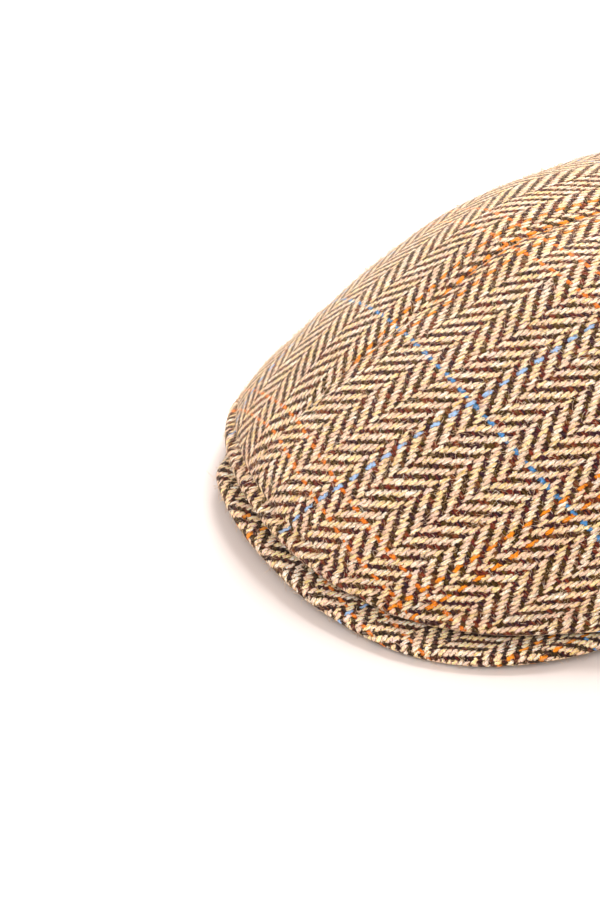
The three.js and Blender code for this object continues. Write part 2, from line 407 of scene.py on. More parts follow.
@dataclass(frozen=True)
class ClothLay:
    """How the tweed lies on the crown: warp ends run back from the fold, weft picks run across.

    Ends are counted from the blue end and picks from the blue pick. 0.82 ends and 0.84 picks a
    millimetre are 21 of each an inch, a usual sett for a woollen jacket tweed. Cloth is eased
    over the crown, so that its threads bow: each other term is a departure from a flat lay.
    """

    form: CapForm
    end_at_seam: float = -37.78
    ends_per_mm: float = 0.82
    end_reference_y: float = -70
    end_lean: float = -0.051
    end_bow: float = 2.126e-3
    end_bow_reach: float = 60
    end_spread: float = 0.807e-3
    end_turn: float = 0.561e-3
    pick_at_seam: float = 6.675
    picks_per_mm: float = 0.8384
    pick_reference_y: float = -90
    pick_sag: float = -0.073
    pick_curl: float = 1.846e-5
    pick_curl_centre: float = 10
    pick_ease: float = -2.813e-3
    ease_starts_y: float = -40
    ease_ends_y: float = 130

    def height(self, x: np.ndarray, y: np.ndarray) -> np.ndarray:
        """Finds the crown's outer face over points in plan.

        Args:
            x: places across, from the seam to the wearer's left.
            y: places along, towards the back.

        Returns:
            Heights above the table.
        """
        form = self.form
        turns = np.linspace(0, 180, 1441)
        fold = form.fold(turns)
        headings = np.arctan2(fold[:, 0], form.apex_y - fold[:, 1])
        reaches = np.hypot(fold[:, 0], fold[:, 1] - form.apex_y)
        heading = np.arctan2(np.abs(x), form.apex_y - y)
        angle = np.interp(heading, headings, turns)
        out = np.hypot(x, y - form.apex_y) / np.interp(heading, headings, reaches)
        return form.crown(angle, np.minimum(out, 1))[..., 2]

    def distances(self, points: np.ndarray) -> tuple[np.ndarray, np.ndarray]:
        """Measures along the cloth from the seam, and from the crown's highest line.

        Args:
            points: places on the crown's outer face.

        Returns:
            How far each is across from the seam, and along it towards the back.
        """
        steps = 40
        x = np.abs(points[:, 0])
        y = points[:, 1] - self.form.apex_y
        across = np.zeros(len(points))
        along = np.zeros(len(points))
        before_across = self.height(np.zeros(len(points)), points[:, 1])
        before_along = self.height(x, np.full(len(points), self.form.apex_y))
        for step in range(1, steps + 1):
            share = step / steps
            here = self.height(x * share, points[:, 1])
            across += np.hypot(x / steps, here - before_across)
            before_across = here
            here = self.height(x, self.form.apex_y + y * share)
            along += np.hypot(y / steps, here - before_along)
            before_along = here
        return across, along * np.sign(y)

    def threads(self, points: np.ndarray) -> np.ndarray:
        """Counts the threads at places on the crown.

        Args:
            points: places on the crown's outer face.

        Returns:
            The warp end and the weft pick at each, with fractions.
        """
        across, along = self.distances(points)
        back = along - self.end_reference_y
        bowed = 2 * self.end_bow_reach ** 2 * (np.hypot(1, back / self.end_bow_reach) - 1)
        ends = (
            self.end_at_seam + self.ends_per_mm * across + self.end_lean * back
            + self.end_bow * bowed + self.end_spread * across ** 2 + self.end_turn * across * back)
        forward = along - self.pick_reference_y
        eased = (
            self.pick_sag * across + self.pick_ease * across * forward
            + self.pick_curl * across ** 2 * (along - self.pick_curl_centre))
        fade = 1 - smooth_step(self.ease_starts_y, self.ease_ends_y, along)
        picks = self.pick_at_seam + self.picks_per_mm * forward + eased * fade
        return np.stack([ends, picks], axis=-1)


def right_lay(form: CapForm) -> ClothLay:
    """Returns the lay of the right half, cut with its weft running forward from the seam."""
    return replace(ClothLay(form), pick_sag=0.16, pick_ease=0, pick_curl=0.9e-5)


def carry_on(
        threads: np.ndarray, points: np.ndarray, last: int, back: int = 4, most: float = 0.85) -> None:
    """Runs the cloth's threads on past a row of a grid, at the pace that they have there.

    Args:
        threads: ends and picks of a grid of columns and rows, changed from the row after last.
        points: places of the grid.
        last: row from which they run on.
        back: rows before it over which the pace is taken.
        most: threads in a millimetre that the pace never passes.
    """
    steps = np.linalg.norm(np.diff(points, axis=1), axis=-1)
    arc = np.concatenate([np.zeros((len(points), 1)), np.cumsum(steps, axis=1)], axis=1)
    span = (arc[:, last] - arc[:, last - back])[:, None]
    pace = (threads[:, last] - threads[:, last - back]) / span
    pace *= np.minimum(1, most / np.linalg.norm(pace, axis=-1, keepdims=True))
    further = arc[:, last + 1:] - arc[:, last:last + 1]
    threads[:, last + 1:] = threads[:, last, None] + pace[:, None] * further[..., None]


def grid_faces(columns: int, rows: int, closed_rows: bool) -> list[tuple[int, ...]]:
    """Lists the four-sided faces of a grid whose points run down each column in turn.

    Args:
        columns: number of columns.
        rows: number of points in each column.
        closed_rows: whether each column's last point joins its first.

    Returns:
        The corners of each face.
    """
    faces = []
    last = rows if closed_rows else rows - 1
    for i in range(columns - 1):
        for j in range(last):
            here, down = i * rows + j, i * rows + (j + 1) % rows
            faces.append((here, down, down + rows, here + rows))
    return faces


def cloth_object(
        name: str, points: np.ndarray, faces: list[tuple[int, ...]], threads: np.ndarray,
        finish: bpy.types.Material) -> bpy.types.Object:
    """Makes a smooth mesh object of cloth, with its threads as a UV map.

    Args:
        name: the piece's name.
        points: places in millimetres.
        faces: corners of each face.
        threads: end and pick at each point.
        finish: the material.

    Returns:
        The object, at the origin, in metres.
    """
    mesh = bpy.data.meshes.new(name)
    mesh.from_pydata((points * MM).tolist(), [], faces)
    mesh.validate()
    corners = np.zeros(len(mesh.loops), dtype=np.int32)
    mesh.loops.foreach_get("vertex_index", corners)
    layer = mesh.uv_layers.new(name=THREADS)
    layer.data.foreach_set("uv", threads[corners].astype(np.float32).ravel())
    mesh.materials.append(finish)
    mesh.shade_smooth()
    mesh.set_sharp_from_angle(angle=math.radians(SHARP_ANGLE))
    mesh.update()
    piece = bpy.data.objects.new(name, mesh)
    bpy.context.scene.collection.objects.link(piece)
    return piece


@dataclass(frozen=True)
class ClothSurface:
    """Unevenness of worn, pressed tweed, in millimetres up the cloth from its fold.

    Soft hollows lie all over, puckers gather above the fold, and the fold is puffed like a cord
    below a shallow groove.
    """

    hollow_depth: float = 0.45
    hollow_span: float = 26
    pucker_depth: float = 0.7
    pucker_span: float = 12
    pucker_reach: float = 7
    pucker_centre: float = 10
    fold_puff: float = 1.0
    fold_puff_centre: float = 1.2
    fold_puff_reach: float = 1.5
    fold_groove: float = 1.3
    fold_groove_centre: float = 4.0
    fold_groove_reach: float = 0.9

    def height(self, points: np.ndarray, above_fold: np.ndarray, along_fold: np.ndarray) -> np.ndarray:
        """Returns how far the cloth stands out from its smooth form.

        Args:
            points: places on the outer face.
            above_fold: distance of each up the cloth from the fold.
            along_fold: distance of each along the fold from the front.

        Returns:
            Outward distances, one for each point.
        """
        hollows = np.array([noise.noise(Vector(point) / self.hollow_span) for point in points])
        span = Vector((self.pucker_span, 2.2 * self.pucker_span))
        puckers = np.array([
            noise.noise(Vector((a / span.x, b / span.y, 3.7))) for a, b in zip(along_fold, above_fold)])
        near = np.exp(-(((above_fold - self.pucker_centre) / self.pucker_reach) ** 2))
        puff = np.exp(-(((above_fold - self.fold_puff_centre) / self.fold_puff_reach) ** 2))
        groove = np.exp(-(((above_fold - self.fold_groove_centre) / self.fold_groove_reach) ** 2))
        return (
            self.hollow_depth * hollows + self.pucker_depth * puckers * near
            + self.fold_puff * puff - self.fold_groove * groove)


@dataclass(frozen=True)
class CrownHalf:
    """One cloth half of the crown: over the top, turned under at the fold, and in at the opening.

    Its grid has a column for each angle round the cap. Each column's rows run down the outer
    face, round the roll, in below, round the rim, and back up the inside.
    """

    form: CapForm
    lay: ClothLay
    side: Side
    outer_rows: int = 150
    roll_rows: int = 10
    under_rows: int = 14
    neck_rows: int = 9
    inner_rows: int = 40
    upward_row: int = 60
    fibre_row_step: int = 3
    foot_round: float = 0.4
    shift_of_right_ends: float = 3
    surface: ClothSurface = ClothSurface()

    def angles(self) -> np.ndarray:
        """Returns the grid's angles, close together beside the seam."""
        near = np.array([0, 0.12, 0.25, 0.4, 0.6, 0.85, 1.15, 1.5, 1.9, 2.4, 3.0, 3.7, 4.5])
        middle = np.linspace(5.4, 174.6, 206)
        return np.concatenate([near, middle, 180 - near[::-1]])

    def outer_shares(self) -> np.ndarray:
        """Returns the rows of the outer face, closer together towards the fold."""
        even = np.linspace(0.006, 1, self.outer_rows)
        return 1 - (1 - even) ** 1.25

    def section_rows(self, angle: np.ndarray) -> np.ndarray:
        """Lays out the wall's section at each angle, from beside the top round to its inside.

        Args:
            angle: degrees from the front, one for each column.

        Returns:
            Points by column and row.
        """
        form = self.form
        outer = [form.crown(angle, out) for out in self.outer_shares()]
        reach = form.front_overhang * form.fold_overhang(angle) - form.fold_radius
        fold_z = form.front_fold_height * form.fold_height(angle)
        roll = []
        for turn in np.linspace(0, math.pi / 2, self.roll_rows + 1)[1:]:
            roll.append(form.out_from_rim(
                angle, reach + form.fold_radius * math.cos(turn),
                fold_z - form.fold_radius * math.sin(turn)))
        shares = np.linspace(0.97, 0.06, self.under_rows)
        under = [form.out_from_rim(angle, reach * s, form.under_cloth(angle, reach * s)) for s in shares]
        bottom = form.rim(angle)[2]
        top = bottom + form.rim_neck_height
        cloth = form.cloth_thickness
        width = form.rim_width
        foot = self.foot_round
        neck = [(0, top - cloth / 2), (0, (top + bottom) / 2), (0, bottom + foot), (-foot, bottom),
                (-width / 2, bottom), (foot - width, bottom), (-width, bottom + foot),
                (-width, top), (-width, top + cloth)]
        rim = [form.out_from_rim(angle, np.full(len(angle), d), z) for d, z in neck]
        floor = [form.out_from_rim(angle, reach * s, form.under_cloth(angle, reach * s) + cloth)
                 for s in shares[::-1]]
        inner = [self.inside(angle, out) for out in np.linspace(0.95, 0.03, self.inner_rows)]
        return np.stack(outer + roll + under + rim + floor + inner, axis=1)

    def inside(self, angle: np.ndarray, out: float) -> np.ndarray:
        """Finds the inner face of the crown's cloth.

        Args:
            angle: degrees from the front.
            out: 0 at the crown's highest point to 1 at the fold.

        Returns:
            Points one cloth thickness inside the outer face.
        """
        form = self.form
        along = form.crown(angle + 0.5, out) - form.crown(angle - 0.5, out)
        down = form.crown(angle, out + 0.004) - form.crown(angle, out - 0.004)
        inward = unit(np.cross(along, down))
        inward *= -np.sign(inward[:, 2:3])
        return form.crown(angle, out) + inward * form.cloth_thickness

    def ruffle(self, points: np.ndarray) -> None:
        """Gives the outer face and the roll of a grid the unevenness of real cloth.

        Args:
            points: the grid by column and row, which changes.
        """
        last = self.outer_rows + self.roll_rows
        face = points[:, :last]
        steps = np.linalg.norm(np.diff(face, axis=1), axis=-1)
        down = np.concatenate([np.zeros((len(face), 1)), np.cumsum(steps, axis=1)], axis=1)
        above_fold = down[:, self.outer_rows - 1, None] - down
        fold = face[:, self.outer_rows - 1]
        pace = np.linalg.norm(np.diff(fold, axis=0), axis=-1)
        along = np.concatenate([[0], np.cumsum(pace)])[:, None] + np.zeros_like(down)
        way = np.cross(np.gradient(face, axis=1), np.gradient(face, axis=0))
        outward = unit(way) * np.sign(unit(way)[:, self.upward_row, None, 2:3])
        outward[[0, -1], :, 0] = 0
        side = self.side.value
        height = self.surface.height(
            face.reshape(-1, 3) * [side, 1, 1], above_fold.ravel(), along.ravel() * side)
        face += unit(outward) * height.reshape(down.shape)[..., None]

    def lay_band(self, threads: np.ndarray, points: np.ndarray) -> None:
        """Lays the cloth straight below the roll: warp upright, weft running round the head.

        Args:
            threads: ends and picks of the grid, which change from below the roll to the rim's foot.
            points: places of the grid by column and row.
        """
        first = self.outer_rows + self.roll_rows
        last = first + self.under_rows + self.neck_rows
        rim = points[:, last - 1]
        round_head = np.cumsum(np.linalg.norm(np.diff(rim, axis=0, prepend=rim[:1]), axis=-1))
        band = points[:, first:last]
        steps = np.linalg.norm(np.diff(band, axis=1, prepend=band[:, :1]), axis=-1)
        threads[:, first:last, 0] = round_head[:, None] * self.lay.ends_per_mm
        threads[:, first:last, 1] = -np.cumsum(steps, axis=1) * self.lay.picks_per_mm

    def outer_face(self) -> tuple[np.ndarray, list[tuple[int, ...]]]:
        """Makes the outer face as far as the fold, for fibres to grow on.

        Returns:
            Its points in millimetres, and its faces.
        """
        points = self.section_rows(self.angles())
        self.ruffle(points)
        points = points[:, :self.outer_rows + 3:self.fibre_row_step]
        flat = points.reshape(-1, 3)
        flat[:, 0] = self.side.value * (flat[:, 0] + self.form.seam_gap / 2)
        faces = grid_faces(points.shape[0], points.shape[1], closed_rows=False)
        return flat, faces if self.side is Side.LEFT else [tuple(reversed(f)) for f in faces]

    def build(self, finish: bpy.types.Material) -> bpy.types.Object:
        """Builds the half as one closed mesh.

        Args:
            finish: the cloth's material.

        Returns:
            The object, at the origin.
        """
        form = self.form
        angle = self.angles()
        points = self.section_rows(angle)
        points[[0, -1], :, 0] = 0
        columns, rows = points.shape[:2]
        outer = self.outer_rows
        threads = np.zeros((columns, rows, 2))
        threads[:, :outer] = self.lay.threads(points[:, :outer].reshape(-1, 3)).reshape(columns, outer, 2)
        carry_on(threads, points, outer - 1)
        self.lay_band(threads, points)
        self.ruffle(points)
        inner = self.inner_rows
        threads[:, -inner:] = self.lay.threads(points[:, -inner:].reshape(-1, 3)).reshape(columns, inner, 2)
        apex = np.array([0, form.apex_y, form.crown_height - form.seam_dip - form.seam_crease])
        poles = np.stack([apex, apex - [0, 0, form.cloth_thickness]])
        pole_threads = self.lay.threads(poles)
        faces = grid_faces(columns, rows, closed_rows=False)
        outer_pole, inner_pole = columns * rows, columns * rows + 1
        for i in range(columns - 1):
            here, after = i * rows, (i + 1) * rows
            faces.append((outer_pole, here, after))
            faces.append((inner_pole, after + rows - 1, here + rows - 1))
        front = [outer_pole] + list(range(rows)) + [inner_pole]
        back = [outer_pole] + [(columns - 1) * rows + j for j in range(rows)] + [inner_pole]
        faces.append(tuple(reversed(front)))
        faces.append(tuple(back))
        flat = np.concatenate([points.reshape(-1, 3), poles])
        flat_threads = np.concatenate([threads.reshape(-1, 2), pole_threads])
        flat[:, 0] += form.seam_gap / 2
        if self.side is Side.RIGHT:
            flat[:, 0] *= -1
            flat_threads[:, 0] = self.shift_of_right_ends - flat_threads[:, 0]
            faces = [tuple(reversed(face)) for face in faces]
        name = f"crown_{self.side.name.lower()}_tweed"
        return cloth_object(name, flat, faces, flat_threads, finish)


@dataclass(frozen=True)
class Peak:
    """The stiff peak: tweed over a curved board, with a rounded edge.

    Its cloth is bent to its curve, so that the weft bows forward in the middle.
    """

    form: CapForm
    columns: int = 221
    top_rows: int = 60
    edge_rows: int = 12
    end_offset: float = -41.2
    ends_per_mm: float = 0.647
    end_spread: float = 1.12e-3
    weft_bow: float = 1.9e-3
    blue_y: float = -120
    pick_offset: float = 38
    pick_offset_y: float = -115.3
    picks_per_mm: float = 0.82
    bare_strip: float = 0.8

    def threads(self, points: np.ndarray) -> np.ndarray:
        """Counts the threads at places on the peak.

        Args:
            points: places on its top.

        Returns:
            The warp end and the weft pick at each, with fractions.
        """
        x, y = points[..., 0], points[..., 1]
        across = x * (1 + 2 * self.weft_bow * (y - self.blue_y))
        ends = self.end_offset + self.ends_per_mm * across + self.end_spread * across * np.abs(across)
        picks = self.pick_offset + self.picks_per_mm * (y - self.weft_bow * x ** 2 - self.pick_offset_y)
        return np.stack([ends, picks], axis=-1)

    def angles(self) -> np.ndarray:
        """Returns the grid's angles, from corner to corner."""
        return np.linspace(-self.form.peak_corner_angle, self.form.peak_corner_angle, self.columns)

    def section_rows(self) -> np.ndarray:
        """Lays out the peak's sections, from the rim over the top and back below.

        Returns:
            Points by column and row.
        """
        form = self.form
        angle = self.angles()
        half = form.peak_thickness / 2
        edge = form.peak_edge(angle)
        reach = edge - half - form.seat_clearance
        shares = 1 - (1 - np.linspace(0, 1, self.top_rows)) ** 1.2
        rows = []
        for share in shares:
            distance = form.seat_clearance + reach * share
            rows.append(form.out_from_rim(angle, distance, form.peak_middle(angle, distance) + half))
        for turn in np.linspace(math.pi / 2, -math.pi / 2, self.edge_rows + 2)[1:-1]:
            rows.append(form.out_from_rim(
                angle, edge - half + half * math.cos(turn),
                form.peak_middle(angle, edge) + half * math.sin(turn)))
        for share in shares[::-1]:
            distance = form.seat_clearance + reach * share
            rows.append(form.out_from_rim(angle, distance, form.peak_middle(angle, distance) - half))
        return np.stack(rows, axis=1)

    def outer_face(self) -> tuple[np.ndarray, list[tuple[int, ...]]]:
        """Makes the part in front of the crown's fold, for fibres to grow on.

        Returns:
            The peak's points in millimetres, and the faces that the crown leaves bare.
        """
        form = self.form
        points = self.section_rows()[:, :self.top_rows + self.edge_rows]
        angle = self.angles()
        rim, outward, _ = form.rim(angle)
        out = np.sum((points[..., :2] - rim[:, None]) * outward[:, None], axis=-1)
        covered = form.front_overhang * form.fold_overhang(np.abs(angle)) + self.bare_strip
        bare = (out > covered[:, None]).ravel()
        faces = grid_faces(points.shape[0], points.shape[1], closed_rows=False)
        return points.reshape(-1, 3), [face for face in faces if bare[list(face)].all()]

    def build(self, finish: bpy.types.Material) -> bpy.types.Object:
        """Builds the peak as one closed mesh.

        Args:
            finish: the cloth's material.

        Returns:
            The object, at the origin.
        """
        points = self.section_rows()
        threads = self.threads(points)
        carry_on(threads, points, self.top_rows - 1)
        columns, count = points.shape[:2]
        faces = grid_faces(columns, count, closed_rows=True)
        faces.append(tuple(reversed(range(count))))
        faces.append(tuple((columns - 1) * count + j for j in range(count)))
        return cloth_object(
            "peak_tweed_cover", points.reshape(-1, 3), faces, threads.reshape(-1, 2), finish)


# The peak's copy of the tweed has darker weft tints: painted shade between the yarns on the peak.
PEAK_PAINTED_SHADE_WEFT_TINTS = (
    "#2C140A", "#140906", "#503A0C", "#32161E", "#18141C", "#6A2012", "#563C20", "#200E08")


@dataclass(frozen=True)
class Overcheck:
    """Places of the coloured threads of the windowpane check, and where the check repeats."""

    repeat: int
    blue: int
    orange: tuple[int, int]


@dataclass(frozen=True)
class HerringboneWeave:
    """2/2 herringbone of woollen yarn: its lifting order and the roundness of its yarns.

    Lengths and heights are shares of a thread's pitch, about 1.2 mm. Each end floats over two
    picks and under two, one pick later at each next end, and the order turns at each stripe.
    """

    stripe_ends: int = 8
    stripe_start: int = -10
    warp_wave: float = 0.75
    weft_wave: float = 0.6
    warp_radius: float = 0.8
    weft_radius: float = 0.6
    warp_rise: float = 0.2
    wander: float = 0.7
    wander_scale: float = 0.85
    hair: float = 0.7
    hair_scale: float = 1.25
    crossing: float = 0.12

    def yarn_height(
            self, tree: bpy.types.NodeTree, phase: bpy.types.Node, across: bpy.types.NodeSocket,
            twisted: bpy.types.Node, wave: float, radius: float) -> tuple[bpy.types.Node, bpy.types.Node]:
        """Adds nodes for one set of yarns, round across and rising and falling along.

        Args:
            tree: the group.
            phase: picks or ends since the yarn last rose, 0 to 4.
            across: place across the yarn, 0 to 1.
            twisted: coordinates that run along the yarn's twist.
            wave: how far the yarn rises and falls.
            radius: how far its middle stands above its edges.

        Returns:
            The node of its height and the node of its hairiness.
        """
        turn = add_node(tree, MATH, phase, math.pi / 2, -math.pi / 2, operation="MULTIPLY_ADD")
        crest = add_node(tree, MATH, turn, operation="COSINE")
        hair = add_node(
            tree, "ShaderNodeTexNoise", twisted,
            named={"Scale": self.hair_scale, "Detail": 3.0, "Roughness": 0.65}, noise_dimensions="2D")
        stray = add_node(tree, MATH, hair, 0.5, operation="SUBTRACT")
        side = add_node(tree, MATH, across, 0.5, operation="SUBTRACT")
        twice = add_node(tree, MATH, side, 2.0, operation="MULTIPLY")
        squared = add_node(tree, MATH, twice, twice, operation="MULTIPLY")
        body = add_node(tree, MATH, squared, -radius, radius, operation="MULTIPLY_ADD")
        smooth = add_node(tree, MATH, crest, wave, body, operation="MULTIPLY_ADD")
        return add_node(tree, MATH, stray, 2 * self.hair, smooth, operation="MULTIPLY_ADD"), hair

    def lifting_order(
            self, tree: bpy.types.NodeTree, end: bpy.types.NodeSocket,
            pick: bpy.types.NodeSocket) -> tuple[bpy.types.Node, bpy.types.Node]:
        """Adds nodes for the picks since each end last rose, with the order turned at each stripe.

        Args:
            tree: the group.
            end: number of the warp end.
            pick: number of the weft pick.

        Returns:
            The node of the order, 0 to 3, and the node that is 1 in every other stripe.
        """
        stripe_place = add_node(tree, MATH, end, float(self.stripe_start), operation="SUBTRACT")
        stripe = add_node(tree, MATH, stripe_place, float(self.stripe_ends), operation="DIVIDE")
        stripe_number = add_node(tree, MATH, stripe, operation="FLOOR")
        odd = add_node(tree, MATH, stripe_number, 2.0, operation="FLOORED_MODULO")
        way = add_node(tree, MATH, odd, -2.0, 1.0, operation="MULTIPLY_ADD")
        in_stripe = add_node(tree, MATH, stripe_place, 4.0, operation="FLOORED_MODULO")
        stepped = add_node(tree, MATH, in_stripe, way, operation="MULTIPLY")
        lifted = add_node(tree, MATH, pick, stepped, operation="SUBTRACT")
        broken = add_node(tree, MATH, lifted, odd, operation="SUBTRACT")
        return add_node(tree, MATH, broken, 4.0, operation="FLOORED_MODULO"), odd

    def twist(
            self, tree: bpy.types.NodeTree, threads: bpy.types.Node, along_x: tuple[float, ...],
            along_y: tuple[float, ...]) -> bpy.types.Node:
        """Adds nodes that turn thread coordinates to run with a yarn's twisted fibres.

        Args:
            tree: the group.
            threads: end and pick.
            along_x: the direction that becomes the first coordinate.
            along_y: the direction that becomes the second.

        Returns:
            The node of the turned coordinates.
        """
        turned = [
            add_node(tree, VECTOR_MATH, threads, way, operation="DOT_PRODUCT").outputs["Value"]
            for way in (along_x, along_y)]
        return add_node(tree, "ShaderNodeCombineXYZ", *turned)

    def group(self) -> bpy.types.NodeTree:
        """Builds the node group that turns end and pick coordinates into woven yarns.

        Returns:
            A group with the input Threads and the outputs Warp On Top, Height, End, Pick, Hair,
            Warp Float and Weft Float. The floats are vectors that name one float each.
        """
        tree = bpy.data.node_groups.new("herringbone weave", "ShaderNodeTree")
        face = tree.interface
        face.new_socket("Threads", in_out="INPUT", socket_type="NodeSocketVector")
        for name in ("Warp On Top", "Height", "End", "Pick", "Hair"):
            face.new_socket(name, in_out="OUTPUT", socket_type="NodeSocketFloat")
        for name in ("Warp Float", "Weft Float"):
            face.new_socket(name, in_out="OUTPUT", socket_type="NodeSocketVector")
        start = add_node(tree, "NodeGroupInput")
        wander = add_node(
            tree, "ShaderNodeTexNoise", start.outputs["Threads"],
            named={"Scale": self.wander_scale, "Detail": 3.0, "Roughness": 0.6}, noise_dimensions="2D")
        centred = add_node(tree, VECTOR_MATH, wander.outputs["Color"], (0.5, 0.5, 0.5), operation="SUBTRACT")
        shift = add_node(
            tree, VECTOR_MATH, centred, named={"Scale": 2 * self.wander}, operation="SCALE")
        moved = add_node(tree, VECTOR_MATH, start.outputs["Threads"], shift, operation="ADD")
        placed = add_node(tree, VECTOR_MATH, moved, (0.5, 0.5, 0.0), operation="ADD")
        whole = add_node(tree, VECTOR_MATH, placed, operation="FLOOR")
        part = add_node(tree, VECTOR_MATH, placed, operation="FRACTION")
        cell = add_node(tree, "ShaderNodeSeparateXYZ", whole)
        inside = add_node(tree, "ShaderNodeSeparateXYZ", part)
        end, pick = cell.outputs["X"], cell.outputs["Y"]
        across_end, across_pick = inside.outputs["X"], inside.outputs["Y"]

        order, odd = self.lifting_order(tree, end, pick)
        warp_phase = add_node(tree, MATH, order, across_pick, operation="ADD")
        forward_phase = add_node(tree, MATH, 3.0, order, operation="SUBTRACT")
        backward_phase = add_node(tree, MATH, order, 2.0, operation="SUBTRACT")
        weft_order = add_node(
            tree, "ShaderNodeMix", odd, named={2: forward_phase, 3: backward_phase}, data_type="FLOAT")
        weft_phase = add_node(tree, MATH, weft_order, across_end, operation="ADD")
        warp_twist = self.twist(tree, moved, (2.7, 0.9, 0), (-0.6, 1.1, 0))
        weft_twist = self.twist(tree, moved, (1.1, 0.6, 0), (-0.9, 2.7, 0))
        warp_body, warp_hair = self.yarn_height(
            tree, warp_phase, across_end, warp_twist, self.warp_wave, self.warp_radius)
        weft_height, weft_hair = self.yarn_height(
            tree, weft_phase, across_pick, weft_twist, self.weft_wave, self.weft_radius)
        warp_height = add_node(tree, MATH, warp_body, self.warp_rise, operation="ADD")
        above = add_node(tree, MATH, warp_height, weft_height, operation="SUBTRACT")
        on_top = add_node(
            tree, "ShaderNodeMapRange", above, -self.crossing, self.crossing, 0.0, 1.0,
            interpolation_type="SMOOTHSTEP")
        height = add_node(tree, MATH, warp_height, weft_height, operation="MAXIMUM")
        top_hair = add_node(
            tree, "ShaderNodeMix", on_top, named={2: weft_hair, 3: warp_hair}, data_type="FLOAT")

        warp_start = add_node(tree, MATH, pick, order, operation="SUBTRACT")
        warp_float = add_node(tree, "ShaderNodeCombineXYZ", end, warp_start)
        weft_start = add_node(tree, MATH, end, weft_order, operation="SUBTRACT")
        weft_float = add_node(tree, "ShaderNodeCombineXYZ", weft_start, pick, 7.0)
        add_node(tree, "NodeGroupOutput", on_top, height, end, pick, top_hair, warp_float, weft_float)
        return tree


def colour_ramp(tree: bpy.types.NodeTree, place: bpy.types.Node, tints: tuple[str, ...]) -> bpy.types.Node:
    """Adds a colour ramp with tints at even steps.

    Args:
        tree: the material's nodes.
        place: node whose value, 0 to 1, picks the tint.
        tints: sRGB colours.

    Returns:
        The ramp.
    """
    ramp = add_node(tree, "ShaderNodeValToRGB", place)
    stops = ramp.color_ramp.elements
    while len(stops) < len(tints):
        stops.new(0.5)
    for i, tint in enumerate(tints):
        stops[i].position = (i + 0.5) / len(tints)
        stops[i].color = linear_colour(tint)
    return ramp
